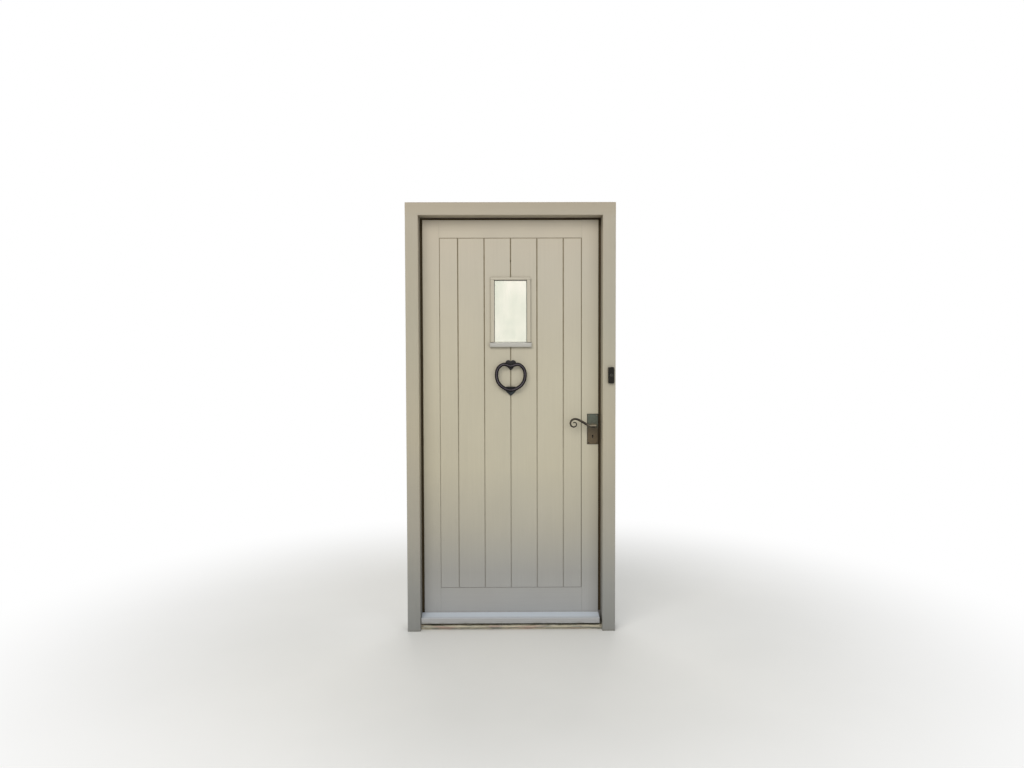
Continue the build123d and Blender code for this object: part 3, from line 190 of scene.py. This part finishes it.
    def bump(self, height, strength, distance):
        made = self.node("ShaderNodeBump")
        self.link(strength, made.inputs["Strength"])
        self.link(distance, made.inputs["Distance"])
        self.link(height, made.inputs["Height"])
        self.setting("Normal", made.outputs["Normal"])


def dress(material, *names):
    """Give one material to carried-over nodes."""
    for name in names:
        mesh = nodes[name].data
        mesh.materials.clear()
        mesh.materials.append(material)


# Painted timber: a warm greige, cooler and darker towards the ground, with grime and painted shade in
# its corners

painted_height = 2.1
leaf_stops = (
    (0.05, (156, 157, 158)), (0.16, (159, 159, 158)), (0.27, (156, 155, 151)),
    (0.50, (173, 168, 153)), (0.80, (187, 180, 158)), (1.25, (188, 181, 160)),
    (1.80, (183, 175, 158)), (2.03, (184, 174, 156)),
)
frame_stops = (
    (0.02, (126, 127, 125)), (0.20, (136, 136, 132)), (0.50, (158, 153, 140)),
    (0.95, (172, 164, 143)), (1.50, (167, 161, 143)), (2.00, (164, 156, 139)),
    (2.085, (159, 148, 129)),
)
# The window sill goes lighter and greyer towards its sloped top: a painted highlight from the sky.
sill_stops = ((1.39, (170, 168, 160)), (1.414, (184, 183, 178)))

upright = (160.0, 160.0, 3.0)
level = (3.0, 160.0, 160.0)
stroke_depth = 0.0006

# Enclosed corners and joints are darkened towards this colour: grime and painted shade.
crevice_reach = 0.02
crevice_grime_and_shade = linear(92, 84, 62)
fleck_colour = linear(120, 112, 92)


def painted(name, stops, strokes_run, dust_and_shade=0.5, finish=None):
    """Brushed paint. Stops give the colour by height, strokes_run the way of the brush.

    A finish adds marks of its own, from the paint, its colour so far and a fine speckle.
    """
    paint = Surface(name, roughness=0.42, specular=0.4)
    height = paint.between(paint.axis("Z"), 0.0, painted_height)
    base = paint.ramp(height, [(z / painted_height, linear(*colour)) for z, colour in stops])
    broad = paint.noise((2.3, 2.3, 1.1), detail=3.0)
    base = paint.shaded(0.55, base, broad, [(0.3, 0.46), (0.7, 0.54)])
    strokes = paint.noise(strokes_run, detail=5.0, rough=0.65)
    base = paint.shaded(0.3, base, strokes, [(0.35, 0.47), (0.65, 0.53)])
    warm = paint.noise((1.3, 1.3, 0.7), detail=2.0, offset=(3.1, 0.0, 7.7))
    base = paint.mix(0.10, base, paint.tones(warm, (176, 176, 168), (190, 176, 150), 0.35, 0.65))
    # Grime and painted shade: darker wherever the occlusion finds a corner or joint.
    crevice = paint.ramp(paint.corners(crevice_reach), [(0.35, 1.0), (0.9, 0.0)])
    speckle = paint.noise((90.0, 90.0, 40.0), detail=4.0, rough=0.7)
    grime_and_shade = paint.maths("MULTIPLY", crevice, paint.ramp(speckle, [(0.3, 0.45), (0.7, 1.0)]))
    base = paint.mix(paint.maths("MULTIPLY", grime_and_shade, dust_and_shade), base, crevice_grime_and_shade)
    fleck = paint.ramp(speckle, [(0.70, 0.0), (0.76, 1.0)])
    base = paint.mix(paint.maths("MULTIPLY", fleck, 0.18), base, fleck_colour)
    if finish:
        base = finish(paint, base, speckle)
    paint.colour(base)
    paint.rough(broad, 0.37, 0.50)
    paint.bump(strokes, 0.10, stroke_depth)
    return paint.material


# Dirt in the joints of the boards, and one nail mark over the window.
# The pitch, half width and ends of the panel are the CAD's own.

board_pitch = 0.1295
panel_half = 0.350
panel_ends = (0.194, 1.925)
joint_reach = 0.0045
lee_reach = 0.006
splashed_below, sheltered_above = 0.3, 1.5
joint_dirt = linear(104, 91, 60)
splashed_dirt = linear(112, 109, 100)
nail_at = (0.0, 1.812)
nail_half_size = (0.0040, 0.0065)
nail_mark = linear(66, 54, 34)


def soiled_joints(paint, base, speckle):
    """Dirt along every joint, less and greyer where rain splashes, and more by the lock stile."""
    apart = paint.maths("PINGPONG", paint.axis("X"), board_pitch / 2)
    side = paint.maths("SUBTRACT", paint.maths("ABSOLUTE", paint.axis("X")), panel_half)
    apart = paint.maths("MINIMUM", apart, paint.maths("ABSOLUTE", side))
    for end in panel_ends:
        apart = paint.maths("MINIMUM", apart, paint.apart("Z", end))
    line = paint.ramp(paint.between(apart, 0.0, joint_reach), [(0.30, 1.0), (1.0, 0.0)])
    line = paint.maths("MULTIPLY", line, paint.ramp(speckle, [(0.25, 0.62), (0.65, 0.88)]))
    height = paint.between(paint.axis("Z"), splashed_below, sheltered_above)
    washed = paint.ramp(height, [(0.0, 0.42), (0.4, 0.42), (0.7, 0.74), (1.0, 0.97)])
    dirt = paint.mix(height, splashed_dirt, joint_dirt)
    base = paint.mix(paint.maths("MULTIPLY", line, washed), base, dirt)
    lee = paint.between(paint.apart("X", panel_half), 0.0, lee_reach)
    base = paint.mix(paint.ramp(lee, [(0.3, 0.7), (1.0, 0.0)]), base, dirt)
    spot = paint.ramp(paint.oval(nail_at, nail_half_size), [(0.2, 0.8), (1.0, 0.0)])
    return paint.mix(spot, base, nail_mark)


# Painted shade in the key's way through the stile, of which the plates leave only the keyhole in
# sight

keyhole_at = (0.404, 0.949)
keyhole_half_size = (0.012, 0.022)


def keyhole_shade(paint, base, speckle):
    # The paint round the keyhole goes near black: painted shade in its tunnel.
    spot = paint.ramp(paint.oval(keyhole_at, keyhole_half_size), [(0.8, 1.0), (1.0, 0.0)])
    return paint.mix(spot, base, paint.tones(speckle, (14, 12, 9), (28, 23, 16)))


board_paint = painted("board_paint", leaf_stops, upright, finish=soiled_joints)
leaf_upright = painted("leaf_paint_upright", leaf_stops, upright, finish=keyhole_shade)
leaf_level = painted("leaf_paint_level", leaf_stops, level)
frame_upright = painted("frame_paint_upright", frame_stops, upright)
frame_level = painted("frame_paint_level", frame_stops, level)
sill_paint = painted("sill_paint", sill_stops, level, dust_and_shade=0.3)

boards = [f"{face}_board_{number}" for face in ("outer", "inner") for number in range(1, 7)]
dress(board_paint, *boards)
dress(leaf_upright, "hinge_stile", "lock_stile", "surround_left", "surround_right")
dress(leaf_level, "top_rail", "bottom_rail", "surround_head", "inner_beads", "window_liner")
dress(frame_upright, "hinge_jamb", "lock_jamb")
dress(frame_level, "head")
dress(sill_paint, "surround_sill")


# Weatherboard: the same paint, greyer, with a painted sky reflection on its slope and stains on the
# nose's lower edge

slope_starts = (0.058, 0.064)
stains_end = (0.033, 0.048)
painted_sky_reflection = linear(199, 206, 214)
splash_stain = linear(104, 100, 78)


def weathered_board():
    paint = Surface("weatherboard_paint", roughness=0.4, specular=0.45)
    slope = paint.between(paint.axis("Z"), *slope_starts)
    # The nose and the slope above it turn pale bluish white: a painted highlight and reflection of
    # the sky.
    base = paint.mix(slope, linear(163, 163, 162), painted_sky_reflection)
    strokes = paint.noise(level, detail=5.0, rough=0.65)
    base = paint.shaded(0.35, base, strokes, [(0.35, 0.46), (0.65, 0.54)])
    splash = paint.noise((14.0, 14.0, 40.0), detail=6.0, rough=0.7)
    low = paint.maths("SUBTRACT", 1.0, paint.between(paint.axis("Z"), *stains_end))
    stain = paint.maths("MULTIPLY", low, paint.ramp(splash, [(0.42, 0.0), (0.6, 1.0)]))
    base = paint.mix(paint.maths("MULTIPLY", stain, 0.6), base, splash_stain)
    paint.colour(base)
    paint.rough(splash, 0.32, 0.50)
    paint.bump(strokes, 0.10, stroke_depth)
    return paint.material


dress(weathered_board(), "weatherboard")


# Threshold: paint worn to cream and pink primer in patches, soiled on top and greyer inside

top_starts = (0.020, 0.026)
inside_starts = (-0.036, -0.030)
old_paint = linear(150, 150, 140)
cream_primer = linear(196, 188, 166)
pink_primer = linear(186, 158, 146)
soil_colour = linear(78, 74, 52)
inside_grey = linear(120, 116, 104)


def worn_threshold():
    paint = Surface("worn_threshold_paint", roughness=0.6, specular=0.3)
    patches = paint.noise((9.0, 60.0, 120.0), detail=6.0, rough=0.62)
    wear_and_highlight = paint.ramp(patches, [(0.44, 0.0), (0.50, 1.0)])
    base = paint.mix(wear_and_highlight, old_paint, cream_primer)
    pink = paint.noise((7.0, 30.0, 60.0), detail=5.0, offset=(4.0, 0.0, 1.0))
    base = paint.mix(paint.ramp(pink, [(0.52, 0.0), (0.60, 0.8)]), base, pink_primer)
    dirt = paint.noise((16.0, 50.0, 90.0), detail=7.0, rough=0.72, offset=(0.0, 2.0, 9.0))
    near_top = paint.between(paint.axis("Z"), *top_starts)
    soil = paint.maths("MULTIPLY", near_top, paint.ramp(dirt, [(0.36, 0.25), (0.58, 1.0)]))
    base = paint.mix(soil, base, soil_colour)
    inside = paint.between(paint.axis("Y"), *inside_starts)
    base = paint.mix(paint.maths("MULTIPLY", inside, 0.5), base, inside_grey)
    paint.colour(base)
    paint.rough(dirt, 0.50, 0.75)
    paint.bump(patches, 0.25, 0.0012)
    return paint.material


dress(worn_threshold(), "threshold")


# The lock rail and the cores, hidden in the leaf

def bare_wood():
    wood = Surface("bare_softwood", roughness=0.65, specular=0.3)
    rings = wood.noise((40.0, 40.0, 1.6), detail=6.0, rough=0.6)
    wood.colour(wood.tones(rings, (196, 160, 112), (222, 190, 142)))
    wood.bump(rings, 0.2, 0.0006)
    return wood.material


dress(bare_wood(), "lock_rail", "upper_core", "lower_core")


# Bright and dark metals

def metal(name, dark, pale, roughness, scale):
    made = Surface(name, roughness=roughness, metallic=1.0)
    mottle = made.noise((scale, scale, scale), detail=6.0, rough=0.6)
    made.colour(made.tones(mottle, dark, pale))
    made.rough(mottle, roughness - 0.08, roughness + 0.12)
    made.bump(mottle, 0.15, 0.0003)
    return made.material


steel = metal("satin_steel", (132, 130, 124), (176, 174, 168), 0.38, 120.0)
zinc = metal("galvanised_bar", (150, 152, 152), (188, 190, 190), 0.45, 60.0)
alloy = metal("satin_aluminium", (168, 170, 172), (198, 200, 202), 0.35, 90.0)
dark_steel = metal("dark_case_steel", (34, 32, 28), (58, 55, 49), 0.5, 120.0)
dress(steel, "hinge_frame_leaves", "hinge_door_leaves", "hinge_pins", "frame_screws", "leaf_screws")
dress(steel, "latch_bolt", "deadbolt", "follower", "spindle", "strike_plate")
dress(zinc, "water_bar")
dress(alloy, "spacer_bar")
dress(dark_steel, "lock_case")


# Black ironwork

specular_per_wax = 2.4


def black_iron(name, dark, pale, roughness, hammer, wax, painted_highlight=()):
    """Waxed iron with hammer marks.

    Painted_highlight holds the colour of a painted highlight, then its limits: an axis, where it
    starts and where it is full.
    """
    made = Surface(name, roughness=roughness, metallic=0.35, specular=specular_per_wax * wax)
    fine = made.noise((420.0, 420.0, 420.0), detail=4.0)
    patina = made.noise((60.0, 60.0, 60.0), detail=5.0, rough=0.62)
    base = made.tones(patina, dark, pale, 0.35, 0.68)
    if painted_highlight:
        highlight_colour, *limits = painted_highlight
        wear_and_highlight = made.maths("MULTIPLY", patina, 0.8)
        for letter, start, full in limits:
            wear_and_highlight = made.maths("MULTIPLY", wear_and_highlight, made.between(made.axis(letter), start, full))
        base = made.mix(wear_and_highlight, base, linear(*highlight_colour))
    made.colour(base)
    made.rough(fine, roughness - 0.06, roughness + 0.14)
    relief = made.maths("ADD", made.hammered(hammer), made.maths("MULTIPLY", fine, 0.25))
    made.bump(relief, 0.35, 0.0008)
    made.setting("Coat Weight", wax)
    made.setting("Coat Roughness", 0.3)
    return made.material


# The ring's crest carries a painted highlight.
ring_iron = black_iron(
    "black_ring_iron", (4, 4, 5), (12, 10, 13), 0.40, 150.0, wax=0.10,
    painted_highlight=((108, 98, 108), ("Y", -0.0222, -0.0246)),
)
plate_iron = black_iron("grey_plate_iron", (14, 12, 13), (36, 31, 33), 0.44, 150.0, wax=0.14)
strike_iron = black_iron("blued_strike_iron", (16, 23, 26), (36, 48, 52), 0.40, 150.0, wax=0.20)
# The lever's top by the hub carries a painted highlight, a painted reflection of the sky.
lever_iron = black_iron(
    "bronzed_lever_iron", (24, 18, 9), (54, 44, 26), 0.34, 130.0, wax=0.18,
    painted_highlight=((158, 146, 122), ("X", 0.362, 0.390), ("Z", 0.999, 1.006)),
)
dress(ring_iron, "knocker_ring", "knocker_pin")
dress(plate_iron, "knocker_plate", "knocker_bolts")
dress(strike_iron, "knocker_strike")
dress(lever_iron, "outside_lever", "inside_lever")


# Lever plates: pewter, greenish at the top, browner and darker at the foot, with a dark rim of
# painted shade

plate_low, plate_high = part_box("outside_backplate")
plate_stops = ((0.0, (92, 78, 56)), (0.5, (84, 72, 52)), (0.62, (86, 88, 74)), (1.0, (84, 90, 80)))
rim_width = 0.0045
rim_shade = linear(38, 34, 25)


def plate_patina():
    made = Surface("pewter_plate", roughness=0.45, metallic=0.4, specular=0.5)
    height = made.between(made.axis("Z"), plate_low[2], plate_high[2])
    base = made.ramp(height, [(share, linear(*colour)) for share, colour in plate_stops])
    patina = made.noise((70.0, 70.0, 70.0), detail=6.0, rough=0.65)
    base = made.shaded(0.8, base, patina, [(0.3, 0.36), (0.7, 0.62)])
    to_edges = []
    for letter, low, high in (("X", plate_low[0], plate_high[0]), ("Z", plate_low[2], plate_high[2])):
        from_middle = made.apart(letter, (low + high) / 2)
        to_edges.append(made.maths("SUBTRACT", (high - low) / 2, from_middle))
    # Painted shade: the plate goes dark along its edges.
    rim = made.between(made.maths("MINIMUM", *to_edges), 0.0, rim_width)
    base = made.mix(made.ramp(rim, [(0.3, 0.8), (1.0, 0.0)]), base, rim_shade)
    made.colour(base)
    made.rough(patina, 0.36, 0.58)
    made.bump(made.hammered(140.0), 0.3, 0.0007)
    return made.material


dress(plate_patina(), "outside_backplate", "inside_backplate", "handle_screws")


# Slotted heads on the screws of both plates

def new_object(name, points, faces):
    mesh = bpy.data.meshes.new(name)
    mesh.from_pydata(points, [], faces)
    made = bpy.data.objects.new(name, mesh)
    bpy.context.scene.collection.objects.link(made)
    return made


def slotted_heads(places, radius, rise, half_slot, slot_depth):
    """Raised screw heads. Each place is a head's centre, its outward way along Y and its turn."""
    steps, rows = 6, 9
    outer = [half_slot + (radius - half_slot) * step / steps for step in range(steps + 1)]
    columns = [(-x, 0.0) for x in reversed(outer)]
    columns += [(-half_slot, slot_depth), (half_slot, slot_depth)]
    columns += [(x, 0.0) for x in outer]
    points, faces = [], []
    for (x, y, z), way, turn in places:
        first = len(points)
        for along, drop in columns:
            chord = math.sqrt(max(radius ** 2 - along ** 2, 0.0))
            for row in range(rows):
                across = chord * (2 * row / (rows - 1) - 1)
                height = rise * (1 - (along ** 2 + across ** 2) / radius ** 2) - drop
                points.append((
                    x + along * math.cos(turn) - across * math.sin(turn), y + way * height,
                    z + along * math.sin(turn) + across * math.cos(turn),
                ))
        for column in range(len(columns) - 1):
            for row in range(rows - 1):
                corner = first + column * rows + row
                face = (corner, corner + 1, corner + rows + 1, corner + rows)
                faces.append(face if way > 0 else face[::-1])
    return new_object("plate_screw_heads", points, faces)


def slot_turn(x, z):
    """A different angle for each head."""
    return 1.1 + 37.0 * (x + z)


inside_low, inside_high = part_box("inside_backplate")
screw_inset = 0.008
screw_places = [
    ((x, face_y, z), way, slot_turn(x, z))
    for face_y, way in ((plate_low[1], -1), (inside_high[1], 1))
    for x in (plate_low[0] + screw_inset, plate_high[0] - screw_inset)
    for z in (plate_low[2] + screw_inset, plate_high[2] - screw_inset)
]
heads = slotted_heads(
    screw_places, radius=0.0035, rise=0.0009, half_slot=0.00045, slot_depth=0.0007
)
heads.data.materials.append(lever_iron)
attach(heads, "leaf")


# Glass, seals and the bell push

def window_glass():
    made = Surface("window_glass", roughness=0.02, specular=0.8)
    made.setting("Transmission Weight", 1.0)
    made.setting("IOR", 1.5)
    haze = made.noise((9.0, 9.0, 5.0), detail=4.0)
    made.colour(made.tones(haze, (238, 240, 230), (252, 250, 242)))
    made.rough(haze, 0.015, 0.05, low=0.35)
    return made.material


def soft_seal(name, dark, pale):
    made = Surface(name, roughness=0.75, specular=0.3)
    grain = made.noise((260.0, 260.0, 260.0), detail=3.0)
    made.colour(made.tones(grain, dark, pale))
    made.bump(grain, 0.2, 0.0003)
    return made.material


def moulded(name, dark, pale, roughness, specular):
    made = Surface(name, roughness=roughness, specular=specular)
    scuff = made.noise((180.0, 180.0, 60.0), detail=5.0, rough=0.7)
    made.colour(made.tones(scuff, dark, pale, low=0.35))
    made.rough(scuff, roughness - 0.06, roughness + 0.14)
    made.bump(scuff, 0.08, 0.0002)
    return made.material


dress(window_glass(), "outer_pane", "inner_pane")
dress(soft_seal("black_gasket", (40, 36, 30), (58, 54, 46)), "glazing_gasket")
# The weather seal fills the gap round the leaf, and its dark brown stands in for that gap's shade: a
# real seal, partly painted shade.
dress(soft_seal("brown_seal_and_gap_shade", (58, 46, 28), (84, 70, 46)), "weather_seal")
dress(moulded("bell_black", (13, 11, 6), (28, 25, 15), 0.42, 0.18), "bell_housing")
dress(moulded("button_grey", (30, 28, 20), (52, 49, 38), 0.32, 0.3), "bell_button")


# Floor, which fades to the backdrop's white away from the part

def shown_rays(tree):
    """1 for the camera's rays and for those that metal and glass send on, else 0."""
    path = tree.nodes.new("ShaderNodeLightPath")
    shown = path.outputs["Is Camera Ray"]
    for kind in ("Is Glossy Ray", "Is Transmission Ray"):
        either = tree.nodes.new("ShaderNodeMath")
        either.operation = "MAXIMUM"
        tree.links.new(shown, either.inputs[0])
        tree.links.new(path.outputs[kind], either.inputs[1])
        shown = either.outputs[0]
    return shown


floor_half, floor_level = 30.0, -0.0005
fade_starts, fade_ends = 0.9, 2.8
floor_corners = ((-1, -1), (1, -1), (1, 1), (-1, 1))
floor = new_object(
    "floor", [(x * floor_half, y * floor_half, floor_level) for x, y in floor_corners], [(0, 1, 2, 3)]
)
stone = Surface("pale_floor", roughness=0.8, specular=0.2)
mottled = stone.noise((0.8, 0.8, 0.8), detail=4.0)
stone.colour(stone.tones(mottled, (226, 225, 221), (232, 231, 227)))
reach = stone.node("ShaderNodeVectorMath", operation="LENGTH")
stone.link(stone.place, reach.inputs[0])
far_off = stone.between(reach.outputs["Value"], fade_starts, fade_ends)
far_off = stone.ramp(far_off, [(0.0, 0.0), (1.0, 1.0)], smooth=True)
white = stone.node("ShaderNodeEmission")
fade = stone.node("ShaderNodeMixShader")
stone.link(stone.maths("MULTIPLY", far_off, shown_rays(stone.tree)), fade.inputs[0])
stone.link(stone.shader.outputs[0], fade.inputs[1])
stone.link(white.outputs[0], fade.inputs[2])
stone.link(fade.outputs[0], stone.tree.nodes["Material Output"].inputs["Surface"])
floor.data.materials.append(stone.material)


# World: a soft cool light, which shows as plain white

world = bpy.data.worlds.new("studio")
bpy.context.scene.world = world
world.use_nodes = True
sky = world.node_tree
sky.nodes.clear()
blend = sky.nodes.new("ShaderNodeMixShader")
sky.links.new(shown_rays(sky), blend.inputs[0])
backgrounds = (((0.93, 0.96, 1.0, 1.0), 0.49), ((1.0, 1.0, 1.0, 1.0), 1.0))
for socket, (colour, strength) in enumerate(backgrounds, start=1):
    background = sky.nodes.new("ShaderNodeBackground")
    background.inputs["Color"].default_value = colour
    background.inputs["Strength"].default_value = strength
    sky.links.new(background.outputs[0], blend.inputs[socket])
sky_output = sky.nodes.new("ShaderNodeOutputWorld")
sky.links.new(blend.outputs[0], sky_output.inputs["Surface"])


# Lamps

def softbox(name, place, target, size, watts, colour):
    lamp = bpy.data.lights.new(name, "AREA")
    lamp.shape = "RECTANGLE"
    lamp.size, lamp.size_y = size
    lamp.energy = watts
    lamp.color = colour
    made = bpy.data.objects.new(name, lamp)
    made.location = place
    made.rotation_euler = (Vector(target) - Vector(place)).to_track_quat("-Z", "Y").to_euler()
    bpy.context.scene.collection.objects.link(made)


softbox("key", (-1.6, -4.2, 4.4), (0.0, 0.0, 1.1), (4.0, 3.0), 152.0, (1.0, 0.97, 0.92))
softbox("fill", (2.6, -4.0, 2.2), (0.0, 0.0, 1.0), (3.0, 3.0), 40.0, (0.94, 0.97, 1.0))
softbox("back", (0.0, 4.5, 4.0), (0.0, 0.0, 1.1), (4.0, 3.0), 106.0, (1.0, 0.98, 0.95))


# Camera, set by the door's corners in the photograph

photo_width = 1024.0
focal_pixels = 770.0
sensor_width = 36.0
camera_place = (-0.0175, -3.7896, 1.3428)
yaw, pitch, roll = math.radians(0.353), math.radians(-2.03), math.radians(-0.15)

forward = Vector((math.sin(yaw) * math.cos(pitch), math.cos(yaw) * math.cos(pitch), math.sin(pitch)))
right = Vector((math.cos(yaw), -math.sin(yaw), 0.0))
up = right.cross(forward)
side = math.cos(roll) * right + math.sin(roll) * up
top = -math.sin(roll) * right + math.cos(roll) * up
turned = Matrix((side, top, -forward)).transposed().to_4x4()
lens = bpy.data.cameras.new("camera")
lens.sensor_width = sensor_width
lens.lens = sensor_width * focal_pixels / photo_width
camera = bpy.data.objects.new("camera", lens)
camera.matrix_world = Matrix.Translation(camera_place) @ turned
bpy.context.scene.collection.objects.link(camera)
bpy.context.scene.camera = camera
bpy.context.scene.view_settings.view_transform = "Standard"
